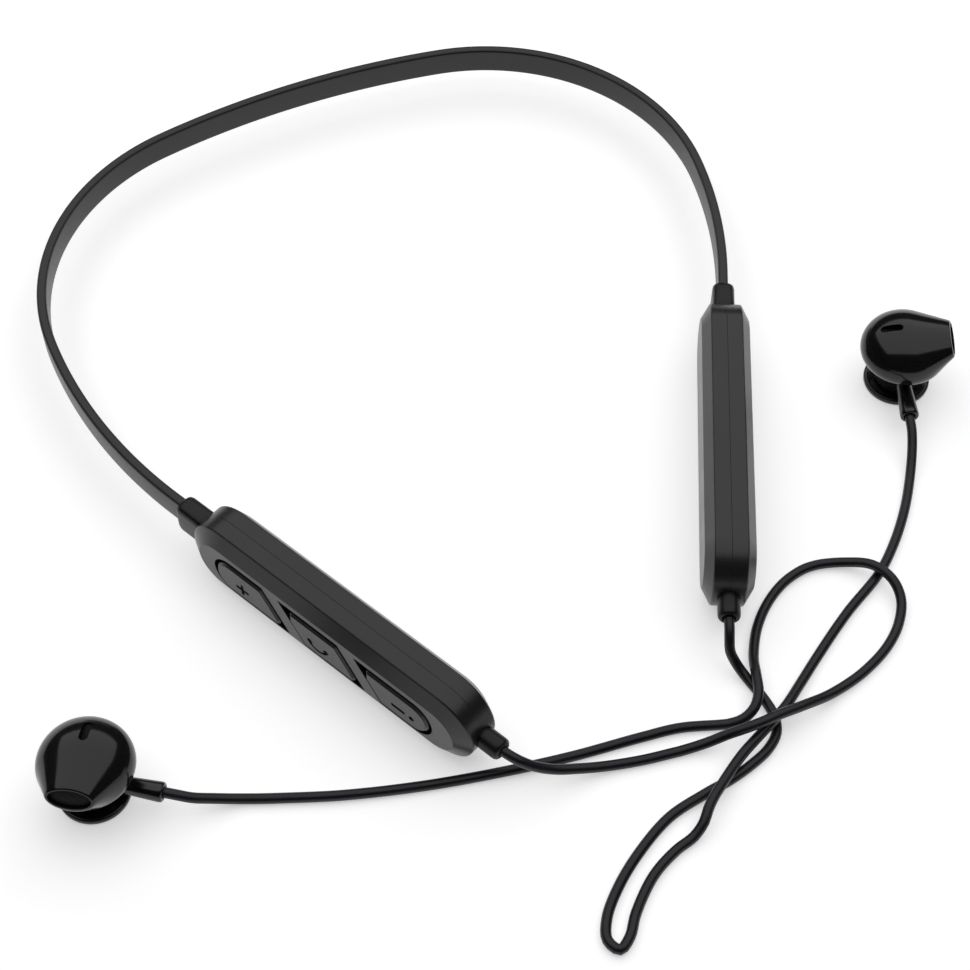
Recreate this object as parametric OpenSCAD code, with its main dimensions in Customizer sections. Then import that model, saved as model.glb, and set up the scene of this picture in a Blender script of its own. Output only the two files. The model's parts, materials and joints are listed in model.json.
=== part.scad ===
/* [Pods] */
// Length of each pod, end to end
pod_l = 67.5; // [64:0.5:75]
// Height of each pod across its narrow walls
pod_h = 16.6; // [16:0.2:18]
// Thickness of each pod, from inner face to outer face
pod_t = 9.4; // [9:0.1:10.4]
// Width of the flat strip along the narrow walls
strip_w = 6; // [5.6:0.1:6.4]
// Height of the flat on each broad face
face_h = 10.5; // [10.3:0.1:10.8]
// Wall thickness of the pod shells
wall = 1.1; // [1:0.1:1.3]
// Heading of the left pod's cable end, in degrees from +X
left_heading = -40.5; // [-44:0.5:-38]

/* [Buttons] */
// How far the button caps stand above the face
cap_rise = 0.35; // [0.25:0.05:0.6]
// Travel of each button
travel = 0.4; // [0.3:0.1:0.5]
// Gap around each cap
cap_gap = 0.8; // [0.6:0.05:0.9]
// Width of the two slanted bars between the caps, along the pod
bar_w = 3.9; // [3.5:0.1:4.3]

/* [Neckband] */
// Height of the band
band_h = 6; // [5:0.5:7]
// Thickness of the band
band_t = 2; // [1.8:0.1:2.4]
// Gap at the flex line in the middle of the band
flex_gap = 0.4; // [0.3:0.05:0.6]

/* [Earbuds] */
// Radius of the earbud head
head_r = 8.5; // [8:0.1:9]
// Radius of the magnet disc behind the head
disc_r = 6.5; // [6:0.1:7]

/* [Cords] */
// Diameter of each earbud cord
cord_d = 1.9; // [1.6:0.1:2.2]

/* [Hidden] */
$fn = 64;

// The set lies on a table: the pods rest on a narrow wall, the earbuds on their discs.
rest_z = pod_h / 2;
left_pod_x = -27.2;
left_pod_y = -55.3;

// Pod section: full height along the strip, then a slanted wall down to the face.
pod_r = pod_h / 2;
face_r = face_h / 2;
half_t = pod_t / 2;
half_strip = strip_w / 2;
slant = (half_t - half_strip) / (pod_r - face_r);
in_r = pod_r - wall;
in_t = half_t - wall;
in_strip = half_strip - wall * sqrt(1 + slant * slant) + wall * slant;
in_face_r = in_r - (in_t - in_strip) / slant;
seam_w = 0.16;
seam_d = 0.14;
far = 100;

// Buttons lie along the outer face of the left pod.
caps_x0 = -26.8;
caps_x1 = 25.9;
caps_y = -0.45;
caps_r = 4.4;
bar_x = [-9.5, 8.8];
bar_slope = 0.7;
clip_w = 3;
clip_low = 2.2;
bevel = 0.45;
plus_x = -19.5;
call_x = -0.8;
minus_x = 18.3;
mic_x = 21.3;
mark_y = -1.2;
mark_d = 0.25;
usb_x = -14;
usb_z = -1.35;
flange = 0.5;
flange_top = in_t - 0.1;
flange_t = 0.7;
board_z = -0.1;
board_t = 0.8;
board_top = board_z + board_t;
switch_h = 0.7;
switch_x = [-17, -1, 17];

// Band path: straight stubs in the boots, then arcs of [radius, sweep].
stub = 8;
right_stub = 9.4;
hairline = 0.02;
left_arcs = [[102.5, 26], [46.5, 79], [174.5, 9.5]];
right_arcs = [[174.5, 11.5], [46, 88.5], [100, 18]];
boot_in = 2.2;
boot_out = 5.6;
boot_t = 4.4;
boot_h = 7.4;
wire_d = 0.7;
lead_w = 0.6;
lead_h = 1;
lead_z = 1.5;
edge = 0.5;
channel_w = 0.9;
channel_h = 4.4;

function dir(a) = [cos(a), sin(a)];
// A path state is [x, y, heading]; each arc turns clockwise.
function arc_centre(s, r) = [s[0], s[1]] - r * dir(s[2] + 90);
function after_arc(s, arc) = let(p = arc_centre(s, arc[0]) + arc[0] * dir(s[2] + 90 - arc[1]))
  [p[0], p[1], s[2] - arc[1]];
function after_arcs(s, arcs, k) = k == 0 ? s : after_arc(after_arcs(s, arcs, k - 1), arcs[k - 1]);
// The band stops this many degrees short of the flex line on each side.
flex_trim = flex_gap / 2 / left_arcs[2][0] * 180 / PI;
function trimmed_left_arcs(trim) = [left_arcs[0], left_arcs[1], left_arcs[2] - [0, trim]];
function trimmed_right_arcs(trim) = [right_arcs[0] - [0, trim], right_arcs[1], right_arcs[2]];
function ahead(s, d) = [s[0] + d * cos(s[2]), s[1] + d * sin(s[2]), s[2]];

band_start = ahead([left_pod_x, left_pod_y, left_heading + 180], pod_l / 2);
left_s = ahead(band_start, stub);
flex = after_arcs(left_s, left_arcs, len(left_arcs));
right_e = after_arcs(flex, right_arcs, len(right_arcs));
band_end = ahead(right_e, right_stub);
right_pod = ahead(band_end, pod_l / 2);

// Earbuds: position of the disc centre and heading of the nozzle.
left_bud = [-68.9, -83.4, -98];
right_bud = [80.6, 8, -4];
left_boot_heading = -12;
right_boot_heading = -88;
disc_t = 1.5;
neck_r = 4.6;
split_z = 9.6;
head_z = 10.2;
dome_h = 6.2;
belly_h = 5;
bud_wall = 0.9;
neck_top = 6.3;
nozzle_tilt = 22;
nozzle_z = 10.2;
nozzle_l = 9.5;
nozzle_w = 8.4;
nozzle_r = 2.4;
nozzle_base_r = 4.4;
vent_l = 4.2;
vent_r = 0.8;
vent_x = -3.2;
bud_boot_z = 4.9;
bud_boot_x = 3.8;
bud_boot_l = 9.3;
bud_boot_r = [1.45, 1.8];
bore_r = cord_d / 2 + 0.1;
bore_l = 2.4;
cable_boot_r = 2.1;
cable_boot_out = 4.3;
cable_boot_in = 2.6;

// Cord routes from pod boot to earbud boot, as [x, y, z] of the centreline.
cord_r = cord_d / 2;
z0 = cord_r;
CORD_LEFT_ROUTE = [
  [0, -78.5, rest_z], [1.7, -80, rest_z], [4, -81.2, 7.6], [6.8, -81.6, 6], [10.5, -81.2, 4],
  [15, -80.2, 2.4], [20, -79.1, 1.3], [26.5, -77.7, z0], [32.5, -76.1, z0], [37.5, -74.8, 1.8],
  [41, -74, 3.3], [44, -73.5, 4.6], [47, -72.5, 5.1], [50, -71, 5], [54.5, -68.6, 3.9],
  [60.3, -64.8, 1.6], [66.5, -60.1, z0], [71.4, -54.8, z0], [74.2, -49.6, z0], [75, -45, 1.9],
  [73.6, -41.2, 2.95], [70.4, -38.2, 2.95], [66.2, -36.7, 1.6], [59.6, -37.1, z0], [54.8, -40, z0],
  [51, -44.6, z0], [48.3, -50.4, z0], [47, -57.2, 1.6], [47, -61.8, 2.9], [47.1, -65.4, 2.95],
  [46.2, -68.2, 2.6], [44.3, -69.9, 1.7], [41.5, -70.6, z0], [33, -71.4, z0], [26, -73.3, z0],
  [14, -77, z0], [2, -80, z0], [-12, -82.8, z0], [-26, -84.6, z0], [-38, -85.2, z0],
  [-43.5, -85.4, 1.2], [-48, -86, 2.5], [-51.3, -86.6, 3.9], [-53.8, -86.5, 4.7],
  [-56.1, -86.1, bud_boot_z], [-58.35, -85.65, bud_boot_z]
];
CORD_RIGHT_ROUTE = [
  [42.3, -51.1, rest_z], [42.2, -53.4, rest_z], [42.2, -55.3, 7.8], [42.2, -56.9, 6.6], [42.4, -58, 4.9],
  [43.3, -58.9, 3.1], [44.5, -60.2, 1.8], [46.2, -62.3, 1], [48.3, -65.6, z0], [49.8, -69, z0],
  [49.9, -72.4, z0], [48.2, -75.6, z0], [45, -78.7, z0], [41, -81.7, z0], [36.5, -84.4, z0],
  [30.3, -88.7, z0], [25, -95, z0], [21, -101.6, z0], [18.8, -107.4, z0], [18.8, -111.2, z0],
  [20.8, -112.8, z0], [22.5, -110.6, z0], [23.7, -106.4, z0], [27, -99.6, z0], [31, -95, z0],
  [34.2, -92.5, 1.2], [35.9, -90.4, 2.3], [36.7, -88.3, 2.9], [37.8, -86, 2.95], [39.5, -83.3, 3],
  [43.2, -77.8, 2.7], [46.3, -74.2, 2.7], [48.9, -71.4, 2.95], [51.6, -68.2, 2.9], [55, -62.6, 1.5],
  [58.6, -56.8, z0], [65, -47.4, z0], [71.8, -38.8, z0], [75.4, -32, z0], [78.4, -24, z0],
  [80.4, -16, 1.2], [81.1, -11, 2.9], [81.2, -7.7, 4.3], [81, -5.1, bud_boot_z], [81, -2.8, bud_boot_z]
];

function unit(v) = v / norm(v);
// Direction of the route at point k, from its neighbours.
function run(p, k) = unit(p[min(k + 1, len(p) - 1)] - p[max(k - 1, 0)]);
function ring(p, k, r, n) = let(t = run(p, k), s = unit(cross(t, [0, 0, 1])), u = cross(s, t))
  [for (i = [0:n - 1]) p[k] + r * cos(360 * i / n) * s + r * sin(360 * i / n) * u];

// A tube swept along a route, closed with a flat cap at each end.
module tube(p, r, n = 8) {
  m = len(p);
  points = [for (k = [0:m - 1]) each ring(p, k, r, n)];
  side = [for (k = [0:m - 2], i = [0:n - 1]) let(j = (i + 1) % n)
    [k * n + i, k * n + j, (k + 1) * n + j, (k + 1) * n + i]];
  start_cap = [for (i = [0:n - 1]) n - 1 - i];
  end_cap = [for (i = [0:n - 1]) (m - 1) * n + i];
  polyhedron(points, concat([start_cap], side, [end_cap]));
}

// ---- frames ----
// Pod frame: +X towards the cable end, +Y up, +Z outwards.
module on_left_pod() translate([left_pod_x, left_pod_y, rest_z]) rotate([90, 0, left_heading]) children();
module on_right_pod() translate([right_pod[0], right_pod[1], rest_z]) rotate([-90, 0, right_pod[2]])
  children();
// Earbud frame: origin at the disc centre on the table, +X towards the nozzle, +Z up.
module on_bud(bud) translate([bud[0], bud[1], 0]) rotate([0, 0, bud[2]]) children();
// Boot frame of an earbud: +Z out along the cord.
module on_bud_boot(bud, heading) translate([bud[0], bud[1], bud_boot_z]) rotate([0, 90, heading])
  translate([0, 0, bud_boot_x]) children();

// ---- pod shells ----
module slab(l, r, z_low, z_high) {
  translate([-l / 2 + r, -r, z_low]) cube([l - 2 * r, 2 * r, z_high - z_low]);
  for (s = [-1, 1]) translate([s * (l / 2 - r), 0, z_low]) cylinder(r = r, h = z_high - z_low);
}
module tapered_slab(l, r_low, r_high, z_low, z_high) {
  h = z_high - z_low;
  side = [[-r_low, 0], [r_low, 0], [r_high, h], [-r_high, h]];
  for (s = [-1, 1]) translate([s * (l / 2 - r_low), 0, z_low]) cylinder(r1 = r_low, r2 = r_high, h = h);
  translate([-l / 2 + r_low, 0, z_low]) rotate([90, 0, 90]) linear_extrude(l - 2 * r_low) polygon(side);
}
module pod_half() {
  slab(pod_l, pod_r, 0, half_strip);
  tapered_slab(pod_l, pod_r, face_r, half_strip, half_t);
}
module pod_cavity() {
  slab(pod_l - 2 * wall, in_r, -1, in_strip);
  tapered_slab(pod_l - 2 * wall, in_r, in_face_r, in_strip, in_t);
}
// Fine groove where the two shells of a pod meet.
module seam_groove() difference() {
  slab(pod_l + 2, pod_r + 1, -1, seam_w / 2);
  slab(pod_l - 2 * seam_d, pod_r - seam_d, -2, seam_w);
}
module band_boot_hole() translate([-pod_l / 2 - 2, -boot_h / 2 - 0.05, -boot_t / 2 - 0.05])
  cube([5.5, boot_h + 0.1, boot_t + 0.1]);
module cable_boot_hole() translate([pod_l / 2 - 4, 0, 0]) rotate([0, 90, 0])
  cylinder(r = cable_boot_r + 0.05, h = 8);
module pod_shell() difference() {
  pod_half();
  pod_cavity();
  seam_groove();
  band_boot_hole();
  cable_boot_hole();
}

// ---- buttons ----
module caps_envelope(r, stretch) translate([0, caps_y]) {
  x_low = caps_x0 - stretch + caps_r;
  x_high = caps_x1 + stretch - caps_r;
  translate([x_low, -r]) square([x_high - x_low, 2 * r]);
  for (x = [x_low, x_high]) translate([x, 0]) circle(r = r);
}
// X of the middle of bar i at height y.
function bar_at(i, y) = bar_x[i] - bar_slope * (y - caps_y);
// Outline of cap i of three: inset from its opening beside the bars, r high each way.
module cap_outline(i, inset, r, stretch = 0) {
  side = bar_w / 2 + inset;
  y = pod_r / 2;
  left = i == 0 ? [-far, -far] : [bar_at(i - 1, y) + side, bar_at(i - 1, -y) + side];
  right = i == 2 ? [far, far] : [bar_at(i, y) - side, bar_at(i, -y) - side];
  intersection() {
    caps_envelope(r, stretch);
    polygon([[left[0], y], [right[0], y], [right[1], -y], [left[1], -y]]);
  }
}
// The sharp corners of an opening stay empty, because the caps' own corners are cut off.
module cut_corners(i) {
  y = caps_y + caps_r;
  if (i > 0) translate([bar_at(i - 1, y) + bar_w / 2 + clip_w - far, 0, 0]) cube([far, far, far]);
  if (i < 2) translate([bar_at(i, 2 * caps_y - y) - bar_w / 2 - clip_low, -far, 0]) cube([far, far, far]);
}
// A slanted plane along the upper edge of every cap.
module cap_bevel() translate([-far / 2, caps_y + caps_r - cap_gap, half_t + cap_rise - bevel])
  rotate([45, 0, 0]) cube([far, 3, 6]);
module cap(i) difference() {
  top = half_t + cap_rise;
  post_z = board_top + switch_h + travel + 0.1;
  union() {
    translate([0, 0, flange_top]) linear_extrude(top - flange_top) cap_outline(i, cap_gap, caps_r - cap_gap);
    translate([0, 0, flange_top - flange_t]) linear_extrude(flange_t)
      cap_outline(i, -flange, caps_r - cap_gap, flange);
    translate([switch_x[i], 0, post_z]) cylinder(d = 1.8, h = flange_top - post_z);
  }
  translate([0, 0, flange_top]) cut_corners(i);
  cap_bevel();
  translate([0, mark_y, top - mark_d]) children();
}
module cap_openings() for (i = [0:2]) translate([0, 0, in_t - 1]) linear_extrude(4) cap_outline(i, 0, caps_r);
module mark_bar(l, w) translate([-l / 2, -w / 2, 0]) cube([l, w, 1]);

// ---- control side, in the left pod ----
module usb_slot() translate([usb_x, -pod_r + wall + 1.4, usb_z]) rotate([90, 0, 0]) slab(9.2, 1.5, 0, 4);
module left_outer_shell() color("#2b2d2b") on_left_pod() difference() {
  pod_shell();
  cap_openings();
  usb_slot();
}
module left_inner_shell() color("#2b2d2b") on_left_pod() difference() {
  mirror([0, 0, 1]) pod_shell();
  usb_slot();
}
module button_plus() color("#3c403d") on_left_pod() cap(0) translate([plus_x, 0, 0]) {
  mark_bar(3, 0.6);
  mark_bar(0.6, 3);
}
module button_call() color("#3c403d") on_left_pod() cap(1) translate([call_x, 1.6, 0]) intersection() {
  difference() {
    cylinder(r = 2.8, h = 1);
    translate([0, 0, -1]) cylinder(r = 2.2, h = 3);
  }
  translate([-2, -4, 0]) cube([4, 3, 1]);
}
module button_minus() color("#3c403d") on_left_pod() cap(2) {
  translate([minus_x, 0, 0]) mark_bar(3.2, 0.6);
  translate([mic_x, 0, -far / 2]) cylinder(d = 1, h = far);
}
module control_board() color("#1f4d2e") on_left_pod() difference() {
  translate([-24, -5.6, board_z]) cube([49, 11.2, board_t]);
  for (x = [-21.5, 11]) translate([x, 3.6, board_z - 1]) cylinder(d = 1.6, h = 3);
}
module tact_switches() color("#b9b9b4") on_left_pod() for (x = switch_x) {
  translate([x - 1.8, -1.3, board_top]) cube([3.6, 2.6, switch_h - 0.25]);
  translate([x, 0, board_top + switch_h - 0.25]) cylinder(d = 1.4, h = 0.25);
}
module radio_module() color("#8d9092") on_left_pod() translate([2, -4.5, board_z - 1.2]) cube([13, 9, 1.2]);
module microphone() color("#c8a95a") on_left_pod() translate([mic_x - 1.5, -1.1, board_top]) difference() {
  cube([3, 2.2, 1]);
  translate([1.5, 1.1, 0.6]) cylinder(d = 0.7, h = 1);
}
module usb_socket() color("#a8abad") on_left_pod() translate([usb_x, -pod_r + 0.2, usb_z]) difference() {
  translate([-3.75, 0, -1.25]) cube([7.5, 5.2, 2.5]);
  translate([-3.45, -1, -0.95]) cube([6.9, 5.2, 1.9]);
}

// ---- power side, in the right pod ----
module right_outer_shell() color("#2b2d2b") on_right_pod() pod_shell();
module right_inner_shell() color("#2b2d2b") on_right_pod() mirror([0, 0, 1]) pod_shell();
module battery_cell() color("#9aa0a3") on_right_pod() translate([-25, -5.25, -2.9]) cube([42, 10.5, 5.6]);
module protection_board() color("#1f4d2e") on_right_pod() translate([18, -4.5, -0.4]) cube([8, 9, 0.8]);

// ---- boots ----
module band_boot() translate([-pod_l / 2, 0, -boot_t / 2]) difference() {
  union() {
    translate([-boot_out + 1.5, -boot_h / 2, 0]) cube([boot_out - 1.5 + 3, boot_h, boot_t]);
    translate([-boot_out, -boot_h / 2 + 1.5, 0]) cube([2, boot_h - 3, boot_t]);
    for (s = [-1, 1]) translate([-boot_out + 1.5, s * (boot_h / 2 - 1.5), 0]) cylinder(r = 1.5, h = boot_t);
    translate([3, -boot_h / 2 - 0.5, 0]) cube([0.8, boot_h + 1, boot_t]);
  }
  translate([-far, -band_h / 2 - 0.05, boot_t / 2 - band_t / 2 - 0.05])
    cube([far, band_h + 0.1, band_t + 0.1]);
}
module left_band_boot() color("#222422") on_left_pod() band_boot();
module right_band_boot() color("#222422") on_right_pod() band_boot();
// Round boot with a bore for the cord in its outer end.
module cord_boot(r_low, r_high, l) difference() {
  union() {
    cylinder(r1 = r_low, r2 = r_high, h = l - 0.5);
    translate([0, 0, l - 0.5]) cylinder(r1 = r_high, r2 = r_high - 0.35, h = 0.5);
  }
  translate([0, 0, l - bore_l]) cylinder(r = bore_r, h = bore_l + 1);
}
module cable_boot() translate([pod_l / 2 - cable_boot_in, 0, 0]) rotate([0, 90, 0]) {
  cord_boot(cable_boot_r, cable_boot_r, cable_boot_in + cable_boot_out);
  cylinder(r = cable_boot_r + 0.7, h = 0.8);
}
module left_cable_boot() color("#222422") on_left_pod() cable_boot();
module right_cable_boot() color("#222422") on_right_pod() cable_boot();

// ---- neckband ----
// Sweeps a profile, drawn as [outward, up], along the arcs that start at state s.
// Each length starts a hair after the one before, so every length is a simple solid.
module along_arcs(s, arcs) for (k = [0:len(arcs) - 1]) {
  a = after_arcs(s, arcs, k);
  r = arcs[k][0];
  centre = arc_centre(a, r);
  translate([centre[0], centre[1], rest_z]) rotate([0, 0, a[2] + 90 - arcs[k][1]])
    rotate_extrude(angle = arcs[k][1] - hairline / r * 180 / PI, $fn = 128) translate([r, 0]) children();
}
module straight(s, l) translate([s[0], s[1], rest_z]) rotate([90, 0, s[2] + 90]) linear_extrude(l) children();
// Sleeve section: corners cut by the edge, with a channel for the wires.
module band_profile() difference() {
  x = band_t / 2;
  y = band_h / 2;
  polygon([
    [-x, -y + edge], [-x + edge, -y], [x - edge, -y], [x, -y + edge],
    [x, y - edge], [x - edge, y], [-x + edge, y], [-x, y - edge]
  ]);
  square([channel_w, channel_h], center = true);
}
module left_run(trim = 0) {
  straight(band_start, stub) children();
  along_arcs(left_s, trimmed_left_arcs(trim)) children();
}
module right_run(trim = 0) {
  along_arcs(after_arc(flex, [right_arcs[0][0], trim]), trimmed_right_arcs(trim)) children();
  straight(ahead(right_e, hairline), right_stub - hairline) children();
}
module band_left_half() color("#2a2c2a") left_run(flex_trim) band_profile();
module band_right_half() color("#2a2c2a") right_run(flex_trim) band_profile();
module memory_wire() color("silver") {
  left_run() square(wire_d, center = true);
  right_run() square(wire_d, center = true);
}
module signal_wires() color("#b06a3a") for (y = [-lead_z, lead_z]) {
  left_run() translate([0, y]) square([lead_w, lead_h], center = true);
  right_run() translate([0, y]) square([lead_w, lead_h], center = true);
}

// ---- earbuds ----
function quarter(a, b, from, to, n) = [
  for (i = [0:n]) let(t = from + (to - from) * i / n) [a * cos(t), head_z + b * sin(t)]
];
module egg(inset) {
  a = head_r - inset;
  rotate_extrude() polygon(concat(
    [[0, head_z - belly_h + inset]],
    [for (p = quarter(a, belly_h - inset, -85, -10, 6)) p],
    [for (p = quarter(a, dome_h - inset, 0, 85, 8)) p],
    [[0, head_z + dome_h - inset]]
  ));
}
module on_nozzle() translate([0, 0, nozzle_z]) rotate([0, 90 - nozzle_tilt, 0]) rotate([0, 0, 90]) children();
module nozzle(inset) {
  r_low = nozzle_base_r - inset;
  r_high = nozzle_r - inset;
  l = nozzle_w - 2 * nozzle_r + 2 * r_low;
  on_nozzle() tapered_slab(l, r_low, r_high, 3, nozzle_l + (inset > 0 ? 0.01 : 0));
}
module head() difference() {
  union() {
    egg(0);
    nozzle(0);
  }
  egg(bud_wall);
  nozzle(bud_wall - 0.2);
}
module dome() difference() {
  head();
  translate([-far / 2, -far / 2, split_z - far]) cube(far);
  translate([vent_x, 0, head_z]) slab(vent_l, vent_r, 0, far);
}
module back(bud, heading) difference() {
  on_bud(bud) {
    difference() {
      head();
      translate([-far / 2, -far / 2, split_z]) cube(far);
    }
    difference() {
      translate([0, 0, disc_t]) cylinder(r = neck_r, h = neck_top - disc_t);
      translate([0, 0, disc_t - 1]) cylinder(r = 0.8, h = neck_top);
    }
  }
  on_bud_boot(bud, heading) cylinder(r = bud_boot_r[1] + 0.05, h = bud_boot_l);
}
module bud_disc() difference() {
  union() {
    cylinder(r1 = disc_r - 0.3, r2 = disc_r, h = 0.3);
    translate([0, 0, 0.3]) cylinder(r = disc_r, h = disc_t - 0.6);
    translate([0, 0, disc_t - 0.3]) cylinder(r1 = disc_r, r2 = disc_r - 0.3, h = 0.3);
  }
  translate([0, 0, 0.5]) cylinder(r = 4, h = disc_t);
}
module clasp_magnet() translate([0, 0, 0.5]) cylinder(r = 3.95, h = disc_t - 0.5);
module driver() translate([0, 0, head_z + 0.4]) difference() {
  cylinder(r = 5, h = 2.2);
  translate([0, 0, 1.8]) cylinder(r = 4.4, h = 1);
}
module driver_magnet() translate([0, 0, head_z - 1]) cylinder(r = 3.2, h = 1.4);
module nozzle_mesh() on_nozzle()
  slab(nozzle_w - 2 * bud_wall - 0.1, nozzle_r - bud_wall + 0.1, nozzle_l - 1, nozzle_l - 0.7);
module vent_mesh() translate([vent_x, 0, head_z + dome_h - 1.9]) slab(vent_l - 0.1, vent_r - 0.05, 0, 0.25);
module bud_boot() cord_boot(bud_boot_r[0], bud_boot_r[1], bud_boot_l);

module left_dome() color("#1a1b1c") on_bud(left_bud) dome();
module left_back() color("#1a1b1c") back(left_bud, left_boot_heading);
module left_nozzle_mesh() color("#0c0c0c") on_bud(left_bud) nozzle_mesh();
module left_vent_mesh() color("#0c0c0c") on_bud(left_bud) vent_mesh();
module left_driver() color("#777a70") on_bud(left_bud) driver();
module left_driver_magnet() color("silver") on_bud(left_bud) driver_magnet();
module left_disc() color("#1a1b1c") on_bud(left_bud) bud_disc();
module left_clasp_magnet() color("silver") on_bud(left_bud) clasp_magnet();
module left_bud_boot() color("#17181a") on_bud_boot(left_bud, left_boot_heading) bud_boot();
module right_dome() color("#1a1b1c") on_bud(right_bud) dome();
module right_back() color("#1a1b1c") back(right_bud, right_boot_heading);
module right_nozzle_mesh() color("#0c0c0c") on_bud(right_bud) nozzle_mesh();
module right_vent_mesh() color("#0c0c0c") on_bud(right_bud) vent_mesh();
module right_driver() color("#777a70") on_bud(right_bud) driver();
module right_driver_magnet() color("silver") on_bud(right_bud) driver_magnet();
module right_disc() color("#1a1b1c") on_bud(right_bud) bud_disc();
module right_clasp_magnet() color("silver") on_bud(right_bud) clasp_magnet();
module right_bud_boot() color("#17181a") on_bud_boot(right_bud, right_boot_heading) bud_boot();

// ---- cords ----
module cord_left() color("#232027") tube(CORD_LEFT_ROUTE, cord_r);
module cord_right() color("#232027") tube(CORD_RIGHT_ROUTE, cord_r);

left_outer_shell();
left_inner_shell();
button_plus();
button_call();
button_minus();
control_board();
tact_switches();
radio_module();
microphone();
usb_socket();
left_band_boot();
left_cable_boot();
right_outer_shell();
right_inner_shell();
battery_cell();
protection_board();
right_band_boot();
right_cable_boot();
band_left_half();
band_right_half();
memory_wire();
signal_wires();
left_dome();
left_back();
left_nozzle_mesh();
left_vent_mesh();
left_driver();
left_driver_magnet();
left_disc();
left_clasp_magnet();
left_bud_boot();
right_dome();
right_back();
right_nozzle_mesh();
right_vent_mesh();
right_driver();
right_driver_magnet();
right_disc();
right_clasp_magnet();
right_bud_boot();
cord_left();
cord_right();
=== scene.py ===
"""Neckband earphones: the looks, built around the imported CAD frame. Lengths are in millimetres
until they reach a mesh; MM turns them into metres."""

import json
import math

import bmesh
import bpy
import numpy as np
from mathutils import Matrix, Vector


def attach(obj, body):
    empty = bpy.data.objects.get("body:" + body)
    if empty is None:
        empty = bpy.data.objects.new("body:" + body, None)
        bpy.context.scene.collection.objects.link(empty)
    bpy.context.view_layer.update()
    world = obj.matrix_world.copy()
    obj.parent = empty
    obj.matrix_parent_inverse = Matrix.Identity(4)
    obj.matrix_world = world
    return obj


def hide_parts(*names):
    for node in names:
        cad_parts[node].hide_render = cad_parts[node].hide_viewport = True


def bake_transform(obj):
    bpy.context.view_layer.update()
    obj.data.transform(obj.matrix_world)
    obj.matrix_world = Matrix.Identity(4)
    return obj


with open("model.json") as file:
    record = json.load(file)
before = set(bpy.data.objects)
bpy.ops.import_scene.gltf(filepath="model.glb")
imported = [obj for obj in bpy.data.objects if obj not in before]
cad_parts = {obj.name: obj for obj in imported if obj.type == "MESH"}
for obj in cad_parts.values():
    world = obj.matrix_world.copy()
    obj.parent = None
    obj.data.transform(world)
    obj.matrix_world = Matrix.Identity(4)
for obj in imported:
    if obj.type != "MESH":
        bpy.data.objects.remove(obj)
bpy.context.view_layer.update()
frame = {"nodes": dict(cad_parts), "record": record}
MM = 0.001

# Pod length and section: strip radius, half thickness, half width of the strip, face radius, wall.
POD_L, POD_R, HALF_T, HALF_STRIP, FACE_R, WALL = 67.5, 8.3, 4.7, 3.0, 5.25, 1.1
# The cavity's section, a wall's thickness inside.
SLANT = (HALF_T - HALF_STRIP) / (POD_R - FACE_R)
IN_STRIP = HALF_STRIP - WALL * math.sqrt(1 + SLANT * SLANT) + WALL * SLANT
IN_FACE_R = POD_R - WALL - (HALF_T - WALL - IN_STRIP) / SLANT
REST_Z = POD_R
LEFT_POD, LEFT_HEADING = (-27.2, -55.3), -40.5
# Buttons: outlines in the pod frame, +X to the cable end, +Y up, +Z outward.
CAPS_X, CAPS_Y, CAPS_R = (-26.8, 25.9), -0.45, 4.4
BAR_X, BAR_W, BAR_SLOPE = (-9.5, 8.8), 3.9, 0.7
CLIP_W, CLIP_LOW, CAP_GAP, CAP_RISE, CHAMFER, FLANGE = 3.0, 2.2, 0.8, 0.35, 0.45, 0.5
MARK_X, MARK_Y, MARK_D, MIC_X = (-19.5, -0.8, 18.3), -1.2, 0.25, 21.4
# Band: straight stubs, then arcs of (radius, sweep) that turn clockwise.
LEFT_STUB, RIGHT_STUB = 8.0, 9.4
LEFT_ARCS = [(102.5, 26), (46.5, 79), (174.5, 9.5)]
RIGHT_ARCS = [(174.5, 11.5), (46, 88.5), (100, 18)]
# Camera: place, tilt from straight down in degrees, and lens.
CAMERA_PLACE, CAMERA_TILT, LENS = (-1.4, -245.9, 314.0), 36, 74.9
# Earbuds: disc centre, heading of the nozzle, heading of the boot.
LEFT_BUD = ((-68.9, -83.4), -98, -12)
RIGHT_BUD = ((80.6, 8.0), -4, -88)
HEAD_R, DOME_H, BELLY_H, HEAD_Z = 8.5, 6.2, 5.2, 10.2
TILT, REACH, TIP_W, TIP_H = math.radians(22), 9.5, 4.2, 2.4
VENT_X, VENT_L, VENT_R = -3.2, 4.2, 0.8
BOOT_Z, CORD_R = 4.9, 0.95
# Height of a cord's centre line where it lies on the table.
Z0 = CORD_R

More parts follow.
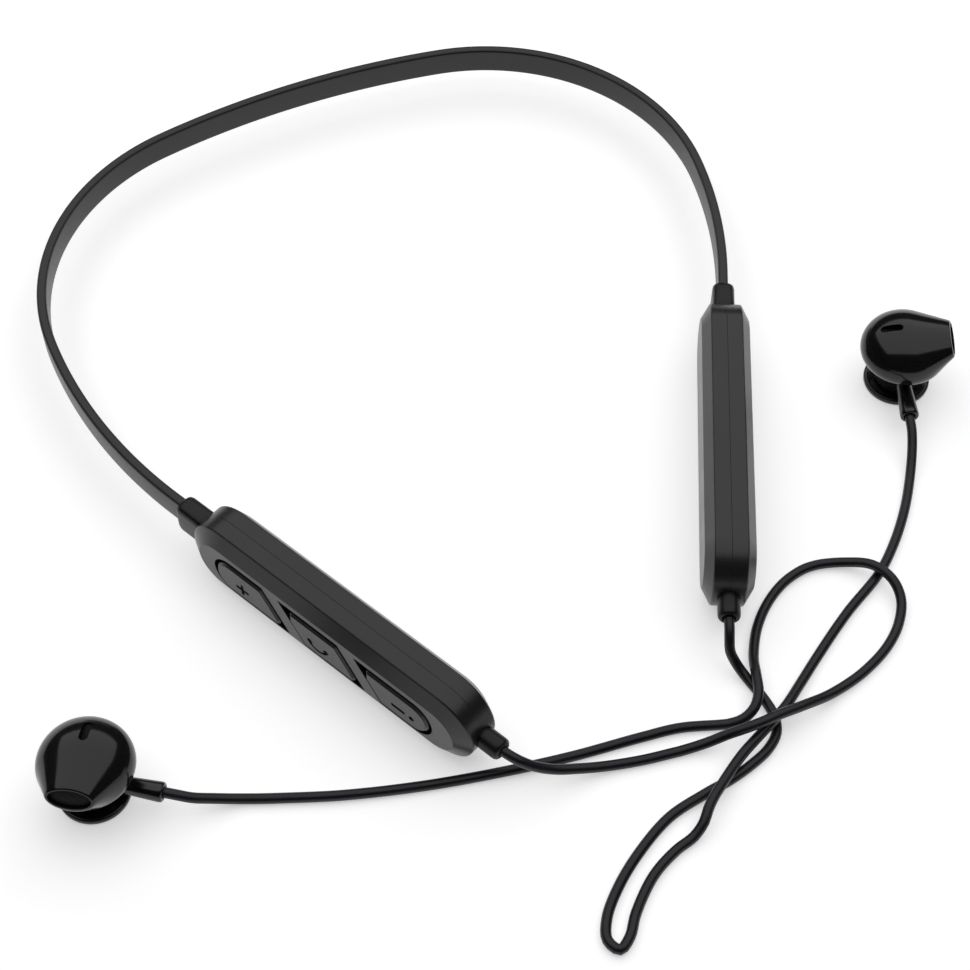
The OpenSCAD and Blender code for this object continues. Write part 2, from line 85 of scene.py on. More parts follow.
CORD_LEFT = [
    (0, -78.5, REST_Z), (1.7, -80, REST_Z), (4, -81.2, 7.6), (6.8, -81.6, 6), (10.5, -81.2, 4),
    (15, -80.2, 2.4), (20, -79.1, 1.3), (26.5, -77.7, Z0), (32.5, -76.1, Z0), (37.5, -74.8, 1.8),
    (41, -74, 3.3), (44, -73.5, 4.6), (47, -72.5, 5.1), (50, -71, 5), (54.5, -68.6, 3.9),
    (60.3, -64.8, 1.6), (66.5, -60.1, Z0), (71.4, -54.8, Z0), (74.2, -49.6, Z0), (75, -45, 1.9),
    (73.6, -41.2, 2.95), (70.4, -38.2, 2.95), (66.2, -36.7, 1.6), (59.6, -37.1, Z0), (54.8, -40, Z0),
    (51, -44.6, Z0), (48.3, -50.4, Z0), (47, -57.2, 1.6), (47, -61.8, 2.9), (47.1, -65.4, 2.95),
    (46.2, -68.2, 2.6), (44.3, -69.9, 1.7), (41.5, -70.6, Z0), (33, -71.4, Z0), (26, -73.3, Z0),
    (14, -77, Z0), (2, -80, Z0), (-12, -82.8, Z0), (-26, -84.6, Z0), (-38, -85.2, Z0),
    (-43.5, -85.4, 1.2), (-48, -86, 2.5), (-51.3, -86.6, 3.9), (-53.8, -86.5, 4.7),
    (-56.1, -86.1, BOOT_Z), (-58.35, -85.65, BOOT_Z),
]
CORD_RIGHT = [
    (42.3, -51.1, REST_Z), (42.2, -53.4, REST_Z), (42.2, -55.3, 7.8), (42.2, -56.9, 6.6), (42.4, -58, 4.9),
    (43.3, -58.9, 3.1), (44.5, -60.2, 1.8), (46.2, -62.3, 1), (48.3, -65.6, Z0), (49.8, -69, Z0),
    (49.9, -72.4, Z0), (48.2, -75.6, Z0), (45, -78.7, Z0), (41, -81.7, Z0), (36.5, -84.4, Z0),
    (30.3, -88.7, Z0), (25, -95, Z0), (21, -101.6, Z0), (18.8, -107.4, Z0), (18.8, -111.2, Z0),
    (20.8, -112.8, Z0), (22.5, -110.6, Z0), (23.7, -106.4, Z0), (27, -99.6, Z0), (31, -95, Z0),
    (34.2, -92.5, 1.2), (35.9, -90.4, 2.3), (36.7, -88.3, 2.9), (37.8, -86, 2.95), (39.5, -83.3, 3),
    (43.2, -77.8, 2.7), (46.3, -74.2, 2.7), (48.9, -71.4, 2.95), (51.6, -68.2, 2.9), (55, -62.6, 1.5),
    (58.6, -56.8, Z0), (65, -47.4, Z0), (71.8, -38.8, Z0), (75.4, -32, Z0), (78.4, -24, Z0),
    (80.4, -16, 1.2), (81.1, -11, 2.9), (81.2, -7.7, 4.3), (81, -5.1, BOOT_Z), (81, -2.8, BOOT_Z),
]


# ---- materials ----
def plain_material(name, color, rough, metallic=0.0, specular=0.5):
    m = bpy.data.materials.new(name)
    m.use_nodes = True
    b = m.node_tree.nodes["Principled BSDF"]
    b.inputs["Base Color"].default_value = (*color, 1)
    b.inputs["Roughness"].default_value = rough
    b.inputs["Metallic"].default_value = metallic
    b.inputs["Specular IOR Level"].default_value = specular
    return m, b


def add(m, kind, **values):
    n = m.node_tree.nodes.new(kind)
    for k, v in values.items():
        if hasattr(n, k):
            setattr(n, k, v)
        else:
            n.inputs[k.replace("_", " ")].default_value = v
    return n


def grained(name, color, rough, grain, bump, vary=0.25, rough_vary=0.06, **more):
    """A moulded surface: colour and roughness drift softly, and a fine grain raises it."""
    m, b = plain_material(name, color, rough, **more)
    link = m.node_tree.links.new
    where = add(m, "ShaderNodeTexCoord").outputs["Object"]
    drift = add(m, "ShaderNodeTexNoise", Scale=180.0, Detail=4.0)
    fine = add(m, "ShaderNodeTexNoise", Scale=grain, Detail=3.0, Roughness=0.65)
    link(where, drift.inputs["Vector"])
    link(where, fine.inputs["Vector"])
    ramp = add(m, "ShaderNodeValToRGB")
    for e, k in zip(ramp.color_ramp.elements, (1 - vary, 1 + vary)):
        e.color = (*[c * k for c in color], 1)
    link(fine.outputs["Fac"], ramp.inputs["Fac"])
    link(ramp.outputs["Color"], b.inputs["Base Color"])
    spread = add(m, "ShaderNodeMapRange")
    spread.inputs["To Min"].default_value = rough - rough_vary
    spread.inputs["To Max"].default_value = rough + rough_vary
    link(drift.outputs["Fac"], spread.inputs["Value"])
    link(spread.outputs["Result"], b.inputs["Roughness"])
    raised = add(m, "ShaderNodeBump", Strength=bump, Distance=0.00005)
    link(fine.outputs["Fac"], raised.inputs["Height"])
    link(raised.outputs["Normal"], b.inputs["Normal"])
    return m


def mesh_cloth(name, color, pitch):
    """A fine woven grille."""
    m, b = plain_material(name, color, 0.6, specular=0.15)
    link = m.node_tree.links.new
    where = add(m, "ShaderNodeTexCoord").outputs["Object"]
    cells = add(m, "ShaderNodeTexVoronoi", Scale=1 / pitch)
    ramp = add(m, "ShaderNodeValToRGB")
    ramp.color_ramp.elements[0].color = (0.002, 0.002, 0.002, 1)
    ramp.color_ramp.elements[1].color = (*[c * 1.6 for c in color], 1)
    raised = add(m, "ShaderNodeBump", Strength=0.6, Distance=0.00008)
    link(where, cells.inputs["Vector"])
    link(cells.outputs["Distance"], ramp.inputs["Fac"])
    link(ramp.outputs["Color"], b.inputs["Base Color"])
    link(cells.outputs["Distance"], raised.inputs["Height"])
    link(raised.outputs["Normal"], b.inputs["Normal"])
    return m


POD = grained("pod_plastic", (0.0120, 0.0128, 0.0118), 0.31, 5200, 0.28, specular=0.46)
CAP = grained("cap_plastic", (0.0185, 0.0205, 0.0180), 0.40, 5200, 0.30)
# Painted shade: a near-black material laid in the gaps round the caps, on the flange below them and in the
# engraved signs.
RECESS_SHADE = grained("painted_recess_shade", (0.002, 0.002, 0.002), 0.7, 5200, 0.2, specular=0.1)
BAND = grained("band_rubber", (0.0090, 0.0094, 0.0092), 0.36, 3800, 0.12, specular=0.45)
BOOT = grained("boot_rubber", (0.0056, 0.0054, 0.0058), 0.36, 4500, 0.20, specular=0.29)
CORD = grained("cord_rubber", (0.0095, 0.0080, 0.0125), 0.36, 3000, 0.10, specular=0.35)
BUD = grained("bud_gloss", (0.0078, 0.0082, 0.0078), 0.14, 900, 0.012, rough_vary=0.03, specular=0.38)
BUD_BOOT = grained("bud_boot_gloss", (0.0045, 0.0040, 0.0055), 0.22, 3000, 0.05)
MESH = mesh_cloth("grille", (0.0025, 0.0028, 0.0026), 0.00032)
FINISH = {
    "board": grained("solder_mask", (0.02, 0.12, 0.05), 0.3, 2500, 0.1),
    "steel": grained("stamped_steel", (0.55, 0.55, 0.56), 0.3, 2500, 0.1, metallic=1.0),
    "chip": grained("shield_can", (0.45, 0.45, 0.45), 0.35, 2500, 0.1, metallic=0.8),
    "brass": grained("brass_can", (0.6, 0.45, 0.2), 0.3, 2500, 0.1, metallic=1.0),
    "foil": grained("foil_pouch", (0.55, 0.57, 0.58), 0.35, 1500, 0.3, metallic=0.9),
    "spring_wire": grained("spring_steel", (0.5, 0.5, 0.5), 0.3, 2500, 0.1, metallic=1.0),
    "copper": grained("wire_sleeve", (0.5, 0.2, 0.1), 0.4, 2500, 0.1),
    "driver": grained("driver_frame", (0.2, 0.2, 0.18), 0.5, 2500, 0.1),
    "magnet": grained("nickel", (0.6, 0.6, 0.6), 0.2, 2500, 0.05, metallic=1.0),
    "pod": POD, "cap": CAP, "band": BAND, "boot": BOOT, "cord": CORD, "bud": BUD, "mesh": MESH,
}


# ---- mesh helpers ----
def mesh_object(name, verts, faces, mats, at=None):
    """Makes a smooth object from points in mm; at places them in the shared frame."""
    at = at or Matrix.Identity(4)
    data = bpy.data.meshes.new(name)
    data.from_pydata([tuple((at @ Vector(v)) * MM) for v in verts], [], faces)
    for m in mats:
        data.materials.append(m)
    for p in data.polygons:
        p.use_smooth = True
    data.update()
    o = bpy.data.objects.new(name, data)
    bpy.context.scene.collection.objects.link(o)
    return o


def ring_faces(rings, n):
    faces = []
    for k in range(rings - 1):
        for i in range(n):
            j, m = (i + 1) % n, k + 1
            faces.append((k * n + i, k * n + j, m * n + j, m * n + i))
    return faces


def loft(name, rings, mats, at=None):
    """Joins rings of equal size with quads, and closes both ends with flat faces."""
    n = len(rings[0])
    faces = ring_faces(len(rings), n)
    faces += [tuple(range(n))[::-1], tuple(range((len(rings) - 1) * n, len(rings) * n))]
    o = mesh_object(name, [p for r in rings for p in r], faces, mats, at)
    bm = bmesh.new()
    bm.from_mesh(o.data)
    bmesh.ops.recalc_face_normals(bm, faces=bm.faces)
    bm.to_mesh(o.data)
    bm.free()
    return o


def even(o, angle=32):
    """Sharp edges stay sharp, and flat faces stay flat beside rounded ones."""
    o.data.set_sharp_from_angle(angle=math.radians(angle))
    o.modifiers.new("even", "WEIGHTED_NORMAL").keep_sharp = True
    return o


def merged(o, *others):
    """Adds the other objects' meshes to o and removes them."""
    bm = bmesh.new()
    for source in (o, *others):
        bm.from_mesh(source.data)
    bm.to_mesh(o.data)
    bm.free()
    for other in others:
        bpy.data.objects.remove(other)
    return o


def crisp(o, width, angle):
    """A small bevel on sharp edges, with even shading."""
    b = o.modifiers.new("edge", "BEVEL")
    b.width, b.segments, b.limit_method, b.angle_limit = width * MM, 2, "ANGLE", math.radians(angle)
    b.harden_normals = True
    return o


def corner(before, at, after, radius, n, least):
    """The points that round one corner, or the corner itself where it turns by less than `least`."""
    a, p, c = (np.array(q, float) for q in (before, at, after))
    u, v = (a - p) / np.linalg.norm(a - p), (c - p) / np.linalg.norm(c - p)
    turn = math.pi - math.acos(max(-1, min(1, float(u @ v))))
    if math.degrees(turn) < least:
        return [tuple(p)]
    d = min(radius * math.tan(turn / 2), 0.45 * np.linalg.norm(a - p), 0.45 * np.linalg.norm(c - p))
    steps = [i / n for i in range(n + 1)]
    return [tuple((1 - t) ** 2 * (p + d * u) + 2 * t * (1 - t) * p + t * t * (p + d * v)) for t in steps]


def rounded(points, radius, n=4, least=15):
    """Rounds the corners of a closed outline that turn by more than `least` degrees."""
    m = len(points)
    return [q for k in range(m) for q in
            corner(points[k - 1], points[k], points[(k + 1) % m], radius, n, least)]


def open_rounded(points, radius, n=4, least=15):
    """The same for an open line: the end points stay."""
    inner = [q for a, p, c in zip(points, points[1:], points[2:]) for q in corner(a, p, c, radius, n, least)]
    return [points[0]] + inner + [points[-1]]


def lathe(name, profile, mats, at, n=64):
    rings = [[(r * math.cos(2 * math.pi * i / n), r * math.sin(2 * math.pi * i / n), z)
              for i in range(n)] for r, z in profile]
    return loft(name, rings, mats, at)


def placed(x, y, z, heading):
    return Matrix.Translation((x, y, z)) @ Matrix.Rotation(math.radians(heading), 4, "Z")


def pod_frame(centre, heading, side):
    """+X to the cable end, +Y up (down on the right), +Z outward."""
    return placed(*centre, REST_Z, heading) @ Matrix.Rotation(math.radians(90 * side), 4, "X")


# ---- camera and cords ----
def make_camera():
    data = bpy.data.cameras.new("camera")
    data.lens, data.sensor_width = LENS, 36
    data.clip_start, data.clip_end = 0.01, 20
    cam = bpy.data.objects.new("camera", data)
    bpy.context.scene.collection.objects.link(cam)
    cam.location = Vector(CAMERA_PLACE) * MM
    cam.rotation_euler = (math.radians(CAMERA_TILT), 0, 0)
    bpy.context.scene.camera = cam


def smooth_line(points, step=0.8):
    """A centripetal curve through the points, about `step` mm between its own."""
    p = [np.array(q, float) for q in points]
    p = [2 * p[0] - p[1]] + p + [2 * p[-1] - p[-2]]
    out = []
    for k in range(1, len(p) - 2):
        a, b, c, d = p[k - 1:k + 3]
        t = np.cumsum([0] + [np.linalg.norm(v) ** 0.5 for v in (b - a, c - b, d - c)])
        m = max(2, int(np.linalg.norm(c - b) / step))
        for i in range(m):
            x = t[1] + (t[2] - t[1]) * i / m
            ab = (t[1] - x) / (t[1] - t[0]) * a + (x - t[0]) / (t[1] - t[0]) * b
            bc = (t[2] - x) / (t[2] - t[1]) * b + (x - t[1]) / (t[2] - t[1]) * c
            cd = (t[3] - x) / (t[3] - t[2]) * c + (x - t[2]) / (t[3] - t[2]) * d
            abc = (t[2] - x) / (t[2] - t[0]) * ab + (x - t[0]) / (t[2] - t[0]) * bc
            bcd = (t[3] - x) / (t[3] - t[1]) * bc + (x - t[1]) / (t[3] - t[1]) * cd
            out.append((t[2] - x) / (t[2] - t[1]) * abc + (x - t[1]) / (t[2] - t[1]) * bcd)
    out.append(p[-2])
    return [v if v[2] > Z0 else np.array((v[0], v[1], Z0)) for v in out]


def tube(name, line, r, mats, n=16):
    rings = []
    for k, p in enumerate(line):
        t = line[min(k + 1, len(line) - 1)] - line[max(k - 1, 0)]
        t = t / np.linalg.norm(t)
        s = np.cross(t, (0, 0, 1))
        s = s / np.linalg.norm(s)
        u = np.cross(s, t)
        rings.append([tuple(p + r * math.cos(2 * math.pi * i / n) * s + r * math.sin(2 * math.pi * i / n) * u)
                      for i in range(n)])
    return loft(name, rings, mats)


def make_cord(name, node, route, body):
    line = smooth_line(route)
    o = tube(name, line, CORD_R, [CORD])
    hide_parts(node)
    if body:
        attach(o, body)
    else:
        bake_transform(o)


# ---- pods ----
def stadium(l, r, z, n=20):
    out = []
    for sign, start in ((1, -90), (-1, 90)):
        for i in range(n + 1):
            a = math.radians(start + 180 * i / n)
            out.append((sign * (l / 2 - POD_R) + r * math.cos(a), r * math.sin(a), z))
    return out


def pod_shell(name, node, at, body, flip=False):
    """A hollow half pod with crisp rounded edges and a hairline where the halves meet."""
    wall = open_rounded([(POD_R, 0.04), (POD_R, HALF_STRIP), (FACE_R, HALF_T), (0.4, HALF_T)], 0.5, 4)[:-1]
    inner = [(IN_FACE_R, HALF_T - WALL), (POD_R - WALL, IN_STRIP), (POD_R - WALL, 0.005)]
    profile = inner + [(POD_R - 0.035, 0.005)] + wall
    rings = [stadium(POD_L, r, -z if flip else z) for r, z in profile]
    o = loft(name, rings, [POD], at)
    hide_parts(node)
    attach(o, body)
    return o


def clipped(poly, a, b, c):
    """The part of a convex outline where a*x + b*y <= c."""
    out = []
    for k, p in enumerate(poly):
        q = poly[(k + 1) % len(poly)]
        dp, dq = a * p[0] + b * p[1] - c, a * q[0] + b * q[1] - c
        if dp <= 0:
            out.append(p)
        if dp * dq < 0:
            t = dp / (dp - dq)
            out.append((p[0] + t * (q[0] - p[0]), p[1] + t * (q[1] - p[1])))
    return out


def cap_outline(i, inset, cut, reach=0):
    """Outline of cap i, inset all round and longer by reach at both ends; cut takes off the sharp
    corners beside the bars."""
    r = CAPS_R - inset
    poly = []
    for x, start in ((CAPS_X[1] - CAPS_R + reach, -90), (CAPS_X[0] + CAPS_R - reach, 90)):
        for k in range(17):
            a = math.radians(start + 180 * k / 16)
            poly.append((x + r * math.cos(a), CAPS_Y + r * math.sin(a)))
    side = BAR_W / 2 + inset - reach
    if i > 0:
        x = BAR_X[i - 1] + side + BAR_SLOPE * CAPS_Y
        poly = clipped(poly, -1, -BAR_SLOPE, -x)
        if cut:
            poly = clipped(poly, -1, 0, -(BAR_X[i - 1] + BAR_W / 2 - BAR_SLOPE * CAPS_R + CLIP_W))
    if i < 2:
        x = BAR_X[i] - side + BAR_SLOPE * CAPS_Y
        poly = clipped(poly, 1, BAR_SLOPE, x)
        if cut:
            poly = clipped(poly, 1, 0, BAR_X[i] - BAR_W / 2 + BAR_SLOPE * CAPS_R - CLIP_LOW)
    return rounded(poly, 0.6 if cut else 0.2, 3, 25)


def prism(name, outline, z_low, z_high, mats, at):
    return loft(name, [[(x, y, z) for x, y in outline] for z in (z_low, z_high)], mats, at)


def cut_with(o, tools):
    """Takes the tools' shapes out of o, for good, and removes the tools."""
    for t in tools:
        m = o.modifiers.new("cut", "BOOLEAN")
        m.operation, m.solver, m.object = "DIFFERENCE", "EXACT", t
    bpy.context.view_layer.update()
    dg = bpy.context.evaluated_depsgraph_get()
    data = bpy.data.meshes.new_from_object(o.evaluated_get(dg))
    o.modifiers.clear()
    o.data = data
    for t in tools:
        bpy.data.objects.remove(t)
    return o


def mark_shapes(i, at):
    """The sign on each cap, as shapes to cut into it."""
    low, high = HALF_T + CAP_RISE - MARK_D, HALF_T + CAP_RISE + 1

    def bar(x, y, l, w, turn=0):
        c, n = math.cos(math.radians(turn)), math.sin(math.radians(turn))
        pts = [(sx * l / 2, sy * w / 2) for sx, sy in ((-1, -1), (1, -1), (1, 1), (-1, 1))]
        pts = [(x + a * c - b * n, y + a * n + b * c) for a, b in rounded(pts, w * 0.35, 3)]
        return prism("mark", pts, low, high, [RECESS_SHADE], at)

    if i == 0:
        return [bar(MARK_X[0], MARK_Y, 3.2, 0.8), bar(MARK_X[0], MARK_Y, 0.7, 3.2)]
    if i == 2:
        turns = [k / 10 * math.pi for k in range(20)]
        hole = [(MIC_X + 0.6 * math.cos(a), MARK_Y + 0.6 * math.sin(a)) for a in turns]
        return [bar(MARK_X[2], MARK_Y, 3.2, 0.85), prism("mark", hole, low - 0.6, high, [RECESS_SHADE], at)]
    sweep = range(212, 329, 9)
    arc = [(2.75, k) for k in sweep] + [(2.15, k) for k in reversed(sweep)]
    x = MARK_X[1]
    pts = [(x + r * math.cos(math.radians(a)), 0.1 + r * math.sin(math.radians(a))) for r, a in arc]
    ends = [bar(x + side * 1.95, -0.95, 1.2, 1.1, side * 55) for side in (-1, 1)]
    return [prism("mark", pts, low, high, [RECESS_SHADE], at)] + ends


def chamfered_rim(o, at, height):
    """Cuts the rim at this height to a 45 degree chamfer."""
    bm = bmesh.new()
    bm.from_mesh(o.data)
    down = at.inverted()
    rim = [e for e in bm.edges if all(abs((down @ (v.co / MM)).z - height) < 0.01 for v in e.verts)]
    bmesh.ops.bevel(bm, geom=rim, offset=CHAMFER * MM, segments=1, affect="EDGES", clamp_overlap=True)
    bmesh.ops.recalc_face_normals(bm, faces=bm.faces)
    bm.to_mesh(o.data)
    bm.free()


def make_cap(i, node, body, at):
    """A key with chamfered edges and an engraved sign, on a flange under the face. The flange, the cap's
    lower sides and the floors of the sign are painted near-black as shade in the gap and the engraving.
    """
    top = HALF_T + CAP_RISE
    flange_top = HALF_T - WALL - 0.1
    o = prism(node + "_cap", cap_outline(i, CAP_GAP, True), flange_top - 0.1, top, [CAP, RECESS_SHADE], at)
    chamfered_rim(o, at, top)
    cut_with(o, mark_shapes(i, at))
    outward = at.to_3x3() @ Vector((0, 0, 1))
    for p in o.data.polygons:
        height = (at.inverted() @ (p.center / MM)).z
        # Painted shade: the sign's sunk floors and the cap's sides low in the gap take the near-black
        # material.
        sunk = p.normal.dot(outward) > 0.9 and top - 1.2 < height < top - 0.1
        p.material_index = 1 if sunk or height < HALF_T - 0.6 else 0
        p.use_smooth = False
    foot = cap_outline(i, -0.05, False, FLANGE)
    flange = prism("flange", foot, flange_top - 0.6, flange_top, [CAP, RECESS_SHADE], at)
    # Painted shade: the flange is near-black so the gap round the cap looks deep.
    for p in flange.data.polygons:
        p.material_index = 1
        p.use_smooth = False
    merged(o, flange)
    crisp(o, 0.07, 30)
    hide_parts(node)
    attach(o, body)


def make_left_pod(at):
    o = pod_shell("left_outer_cover", "left_outer_shell", at, "left_side")
    openings = [cap_outline(i, 0, False) for i in range(3)]
    tools = [prism("tool", outline, HALF_T - WALL - 1, HALF_T + 2, [POD], at) for outline in openings]
    cut_with(o, tools)
    even(crisp(o, 0.10, 50))
    even(pod_shell("left_inner_cover", "left_inner_shell", at, "left_side", flip=True))
    for i, (node, body) in enumerate((("button_plus", "plus_key"), ("button_call", "call_key"),
                                      ("button_minus", "minus_key"))):
        make_cap(i, node, body, at)


# ---- boots ----
def band_boot(name, node, at, body):
    """A flat block that grips the band, rounded all over."""
    rings = []
    for x, h, t in ((-5.6, 3.0, 1.75), (-5.45, 3.3, 1.95), (-5.1, 3.55, 2.1), (-4.4, 3.7, 2.2),
                    (-0.6, 3.7, 2.2), (3.0, 3.7, 2.2)):
        box = rounded([(-h, -t), (h, -t), (h, t), (-h, t)], 1.6, 8)
        rings.append([(x - POD_L / 2, a, b) for a, b in box])
    o = loft(name, rings, [BOOT], at)
    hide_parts(node)
    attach(o, body)


def round_boot(name, node, at, body, profile):
    o = lathe(name, profile, [BOOT], at, 48)
    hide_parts(node)
    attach(o, body)
    return o


def cable_boot(name, node, at, body):
    across = at @ Matrix.Translation((POD_L / 2 - 2.6, 0, 0)) @ Matrix.Rotation(math.radians(90), 4, "Y")
    round_boot(name, node, across, body, [
        (2.1, 0), (2.1, 3.2), (2.1, 5.9), (2.05, 6.35), (1.9, 6.65), (1.65, 6.85), (1.45, 6.9), (1.3, 6.8),
        (1.2, 6.5), (0.98, 6.2)])


# ---- band ----
def arc_line(start, heading, stub, arcs, last_stub, step=1.5):
    """Points and headings along the band."""
    x, y, h = start[0], start[1], heading
    out = [(x, y, h)]

    def ahead(d):
        nonlocal x, y
        x, y = x + d * math.cos(math.radians(h)), y + d * math.sin(math.radians(h))
        out.append((x, y, h))

    for _ in range(4):
        ahead(stub / 4)
    for r, sweep in arcs:
        a = math.radians(h + 90)
        cx, cy = x - r * math.cos(a), y - r * math.sin(a)
        n = max(2, int(r * math.radians(sweep) / step))
        for i in range(1, n + 1):
            b = math.radians(h + 90 - sweep * i / n)
            out.append((cx + r * math.cos(b), cy + r * math.sin(b), h - sweep * i / n))
        x, y, h = out[-1]
    for _ in range(4):
        ahead(last_stub / 4)
    return out


def band_piece(name, nodes, line, profile, mats):
    rings = []
    for x, y, h in line:
        a = math.radians(h + 90)
        rings.append([(x + o * math.cos(a), y + o * math.sin(a), REST_Z + u) for o, u in profile])
    o = loft(name, rings, mats)
    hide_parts(*nodes)
    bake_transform(o)
    return o


def make_band():
    back = math.radians(LEFT_HEADING + 180)
    start = (LEFT_POD[0] + POD_L / 2 * math.cos(back), LEFT_POD[1] + POD_L / 2 * math.sin(back))
    line = arc_line(start, LEFT_HEADING + 180, LEFT_STUB, LEFT_ARCS + RIGHT_ARCS, RIGHT_STUB)
    flex = arc_line(start, LEFT_HEADING + 180, LEFT_STUB, LEFT_ARCS, 0)[-1]
    sleeve = rounded([(-1, -3), (1, -3), (1, 3), (-1, 3)], 0.75, 5)
    band_piece("band_sleeve", ["band_left_half", "band_right_half"], line, sleeve, [BAND])
    wire = [(-0.35, -0.35), (0.35, -0.35), (0.35, 0.35), (-0.35, 0.35)]
    band_piece("spring_wire", ["memory_wire"], line, wire, [FINISH["spring_wire"]])
    leads = [(-0.3, 1), (0.3, 1), (0.3, 2), (-0.3, 2)]
    band_piece("upper_leads", ["signal_wires"], line, leads, [FINISH["copper"]])
    leads = [(-0.3, -2), (0.3, -2), (0.3, -1), (-0.3, -1)]
    band_piece("lower_leads", [], line, leads, [FINISH["copper"]])
    return line[-1]


# ---- earbuds ----
NOZZLE = np.array((math.cos(TILT), 0, math.sin(TILT)))
NOZZLE_SIDE = np.array((0, 1.0, 0))
NOZZLE_UP = np.array((-math.sin(TILT), 0, math.cos(TILT)))


def egg_radius(d):
    """Distance from the head's centre to the plain egg, along unit direction d."""
    up = DOME_H if d[2] > 0 else BELLY_H
    return 1 / math.sqrt((d[0] ** 2 + d[1] ** 2) / HEAD_R ** 2 + d[2] ** 2 / up ** 2)


def soft_least(a, b, blend=0.16):
    """The lesser of a and b, rounded where they cross."""
    least = min(a, b)
    return least - blend * math.log(math.exp((least - a) / blend) + math.exp((least - b) / blend))


def skin_line(azimuth):
    """Points of the head at one azimuth round the nozzle: flat end, rim, straight flank, egg."""
    across = math.cos(azimuth) * NOZZLE_SIDE + math.sin(azimuth) * NOZZLE_UP

    def egg(t):
        return egg_radius(math.cos(t) * NOZZLE + math.sin(t) * across)

    tip = 1 / math.hypot(math.cos(azimuth) / TIP_W, math.sin(azimuth) / TIP_H)
    seen = [(egg(t) * math.cos(t), egg(t) * math.sin(t), t) for t in np.radians(np.arange(5, 130, 0.5))]
    slope, joins = max(((y - tip) / (REACH - x), t) for x, y, t in seen)
    rim = math.atan2(tip, REACH)
    near = [rim + math.radians(k) for k in (-2.4, -1.6, -1, -0.6, -0.3, 0, 0.3, 0.6, 1, 1.6, 2.4, 3.5)]
    last = math.radians(179) - near[-1]
    levels = [rim * k for k in (0.1, 0.35, 0.6)] + near + [near[-1] + last * k / 84 for k in range(1, 85)]
    out = []
    for t in levels:
        r = egg(t)
        if t < joins:
            flank = (tip + slope * REACH) / (math.sin(t) + slope * math.cos(t))
            flat = REACH / max(math.cos(t), 0.05)
            r = soft_least(flat, flank)
        out.append(r * (math.cos(t) * NOZZLE + math.sin(t) * across))
    return out


def oval(w, h, n=48):
    return [(w * math.cos(2 * math.pi * k / n), h * math.sin(2 * math.pi * k / n)) for k in range(n)]


def slot_outline(l, r, n=12):
    """A stadium along X, round the vent's centre."""
    out = []
    for sign, start in ((1, -90), (-1, 90)):
        for k in range(n + 1):
            a = math.radians(start + 180 * k / n)
            out.append((VENT_X + sign * (l / 2 - r) + r * math.cos(a), r * math.sin(a)))
    return out


def crowned_plate(name, outline, z, rise, at):
    """A thin grille plate, raised in the middle."""
    mx, my = np.mean(np.array(outline), axis=0)
    rings = []
    for k in (0.02, 0.35, 0.65, 0.9, 1):
        rings.append([(mx + k * (x - mx), my + k * (y - my), z + rise * (1 - k * k)) for x, y in outline])
    rings.append([(x, y, z - 0.2) for x, y in outline])
    return loft(name, rings, [MESH], at)


def make_head(side, at, body):
    """Head and nozzle in one skin, cut for the vent slot and the sunken grille of the nozzle."""
    n = 128
    lines = [skin_line(2 * math.pi * k / n) for k in range(n)]
    rings = [[tuple(line[k]) for line in lines] for k in range(len(lines[0]))]
    at = at @ Matrix.Translation((0, 0, HEAD_Z))
    o = loft(side + "_head", rings, [BUD], at)
    # Nozzle frame: +Z out of the nozzle, +X across it.
    out = at @ Matrix(((0, -math.sin(TILT), math.cos(TILT), 0), (1, 0, 0, 0),
                       (0, math.cos(TILT), math.sin(TILT), 0), (0, 0, 0, 1)))
    slot_floor = DOME_H - 1.9
    mouth = prism("mouth", oval(TIP_W - 0.45, TIP_H - 0.45), REACH - 0.8, REACH + 1, [BUD], out)
    vent = prism("vent", slot_outline(VENT_L, VENT_R), slot_floor, DOME_H + 1, [BUD], at)
    cut_with(o, [mouth, vent])
    even(crisp(o, 0.09, 50), 40)
    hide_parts(side + "_dome")
    grille = crowned_plate(side + "_nozzle_grille", oval(TIP_W - 0.46, TIP_H - 0.46), REACH - 0.62, 0.25, out)
    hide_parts(side + "_nozzle_mesh")
    screen = crowned_plate(side + "_vent_screen", slot_outline(VENT_L - 0.04, VENT_R - 0.02),
                           slot_floor + 0.2, 0.05, at)
    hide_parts(side + "_vent_mesh")
    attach(o, body)
    for piece in (grille, screen):
        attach(piece, body)


def make_earbud(side, bud):
    (x, y), heading, boot = bud
    body = side + "_side"
    at = placed(x, y, 0, heading)
    make_head(side, at, body)
    neck = [(4.6, 1.4), (4.5, 2.4), (4.55, 3.6), (4.75, 4.6), (5.05, 5.4), (5.1, 6.0), (4.5, 6.6)]
    o = lathe(side + "_neck", neck, [BUD], at)
    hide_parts(side + "_back")
    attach(o, body)
    disc = [(5.9, 0), (6.25, 0.08), (6.45, 0.3), (6.5, 0.75), (6.45, 1.2), (6.25, 1.42), (5.9, 1.5)]
    o = lathe(side + "_clasp_disc", disc, [BUD], at, 96)
    even(o, 60)
    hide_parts(side + "_disc", side + "_clasp_magnet")
    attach(o, body)
    flat = placed(x, y, BOOT_Z, boot) @ Matrix.Rotation(math.radians(90), 4, "Y")
    along = flat @ Matrix.Translation((0, 0, 3.8))
    o = round_boot(side + "_strain_relief", side + "_bud_boot", along, body, [
        (1.45, 0), (1.52, 2), (1.62, 4), (1.72, 6.4), (1.79, 8.2), (1.8, 8.8), (1.72, 9.1), (1.5, 9.28),
        (1.3, 9.3), (1.1, 9.1), (0.98, 8.5)])
    o.data.materials[0] = BUD_BOOT


# ---- stage ----
# Radiances: 1 is pure white in the picture.
FLOOR_GLOW, BOX_RADIANCE, WORLD_FRONT, WORLD_BACK = 0.48, 1.15, 0.04, 0.35


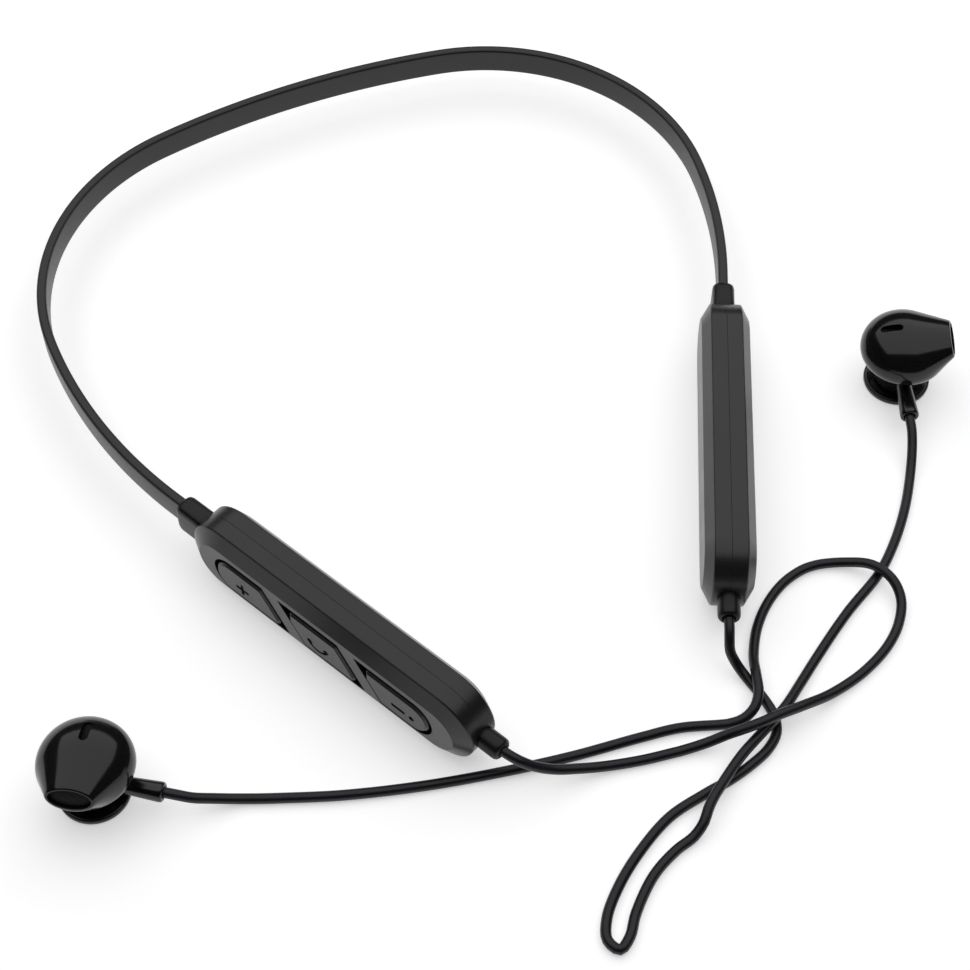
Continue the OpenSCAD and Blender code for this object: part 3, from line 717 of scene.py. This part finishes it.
def area_light(name, place, aim, size, radiance):
    """A soft box of this size, which gives off the same radiance all over."""
    data = bpy.data.lights.new(name, "AREA")
    data.shape, data.size, data.size_y = "RECTANGLE", *size
    data.energy = radiance * math.pi * size[0] * size[1]
    o = bpy.data.objects.new(name, data)
    bpy.context.scene.collection.objects.link(o)
    o.location = place
    o.rotation_mode = "QUATERNION"
    o.rotation_quaternion = (Vector(place) - Vector(aim)).to_track_quat("Z", "Y")


def make_world():
    """A studio that is dim at the front and the sides, and paler behind the set."""
    world = bpy.data.worlds.new("studio")
    bpy.context.scene.world = world
    world.use_nodes = True
    tree = world.node_tree
    where = tree.nodes.new("ShaderNodeTexCoord")
    split = tree.nodes.new("ShaderNodeSeparateXYZ")
    ramp = tree.nodes.new("ShaderNodeMapRange")
    ramp.inputs["From Min"].default_value = -0.2
    ramp.inputs["From Max"].default_value = 0.9
    ramp.inputs["To Min"].default_value = WORLD_FRONT
    ramp.inputs["To Max"].default_value = WORLD_BACK
    tree.links.new(where.outputs["Generated"], split.inputs["Vector"])
    tree.links.new(split.outputs["Y"], ramp.inputs["Value"])
    tree.links.new(ramp.outputs["Result"], tree.nodes["Background"].inputs["Strength"])


def make_stage():
    paint, shader = plain_material("floor_paint", (0.93, 0.93, 0.93), 0.9, specular=0.1)
    shader.inputs["Emission Color"].default_value = (1, 1, 1, 1)
    shader.inputs["Emission Strength"].default_value = FLOOR_GLOW
    half = 8000
    floor = mesh_object("floor", [(-half, -half, 0), (half, -half, 0), (half, half, 0), (-half, half, 0)],
                        [(0, 1, 2, 3)], [paint])
    make_world()
    area_light("top_box", (0, 0.35, 1.0), (0, 0.0, 0), (2.4, 2.0), BOX_RADIANCE)
    bpy.context.scene.view_settings.view_transform = "Standard"


def finish_frame_nodes():
    """CAD nodes that still show get their slot's procedural finish."""
    slots = {s["node"]: s["material_slot"] for s in frame["record"]["subparts"]}
    for name, o in frame["nodes"].items():
        o.data.materials.clear()
        o.data.materials.append(FINISH[slots[name]])


make_camera()
make_cord("cord_left_lead", "cord_left", CORD_LEFT, None)
make_cord("cord_right_lead", "cord_right", CORD_RIGHT, "right_side")
finish_frame_nodes()
LEFT = pod_frame(LEFT_POD, LEFT_HEADING, 1)
end_x, end_y, end_heading = make_band()
RIGHT_POD = (end_x + POD_L / 2 * math.cos(math.radians(end_heading)),
             end_y + POD_L / 2 * math.sin(math.radians(end_heading)))
RIGHT = pod_frame(RIGHT_POD, end_heading, -1)
make_left_pod(LEFT)
even(pod_shell("right_outer_cover", "right_outer_shell", RIGHT, "right_side"))
even(pod_shell("right_inner_cover", "right_inner_shell", RIGHT, "right_side", flip=True))
band_boot("left_band_grip", "left_band_boot", LEFT, "left_side")
band_boot("right_band_grip", "right_band_boot", RIGHT, "right_side")
cable_boot("left_cable_grip", "left_cable_boot", LEFT, "left_side")
cable_boot("right_cable_grip", "right_cable_boot", RIGHT, "right_side")
make_earbud("left", LEFT_BUD)
make_earbud("right", RIGHT_BUD)
make_stage()
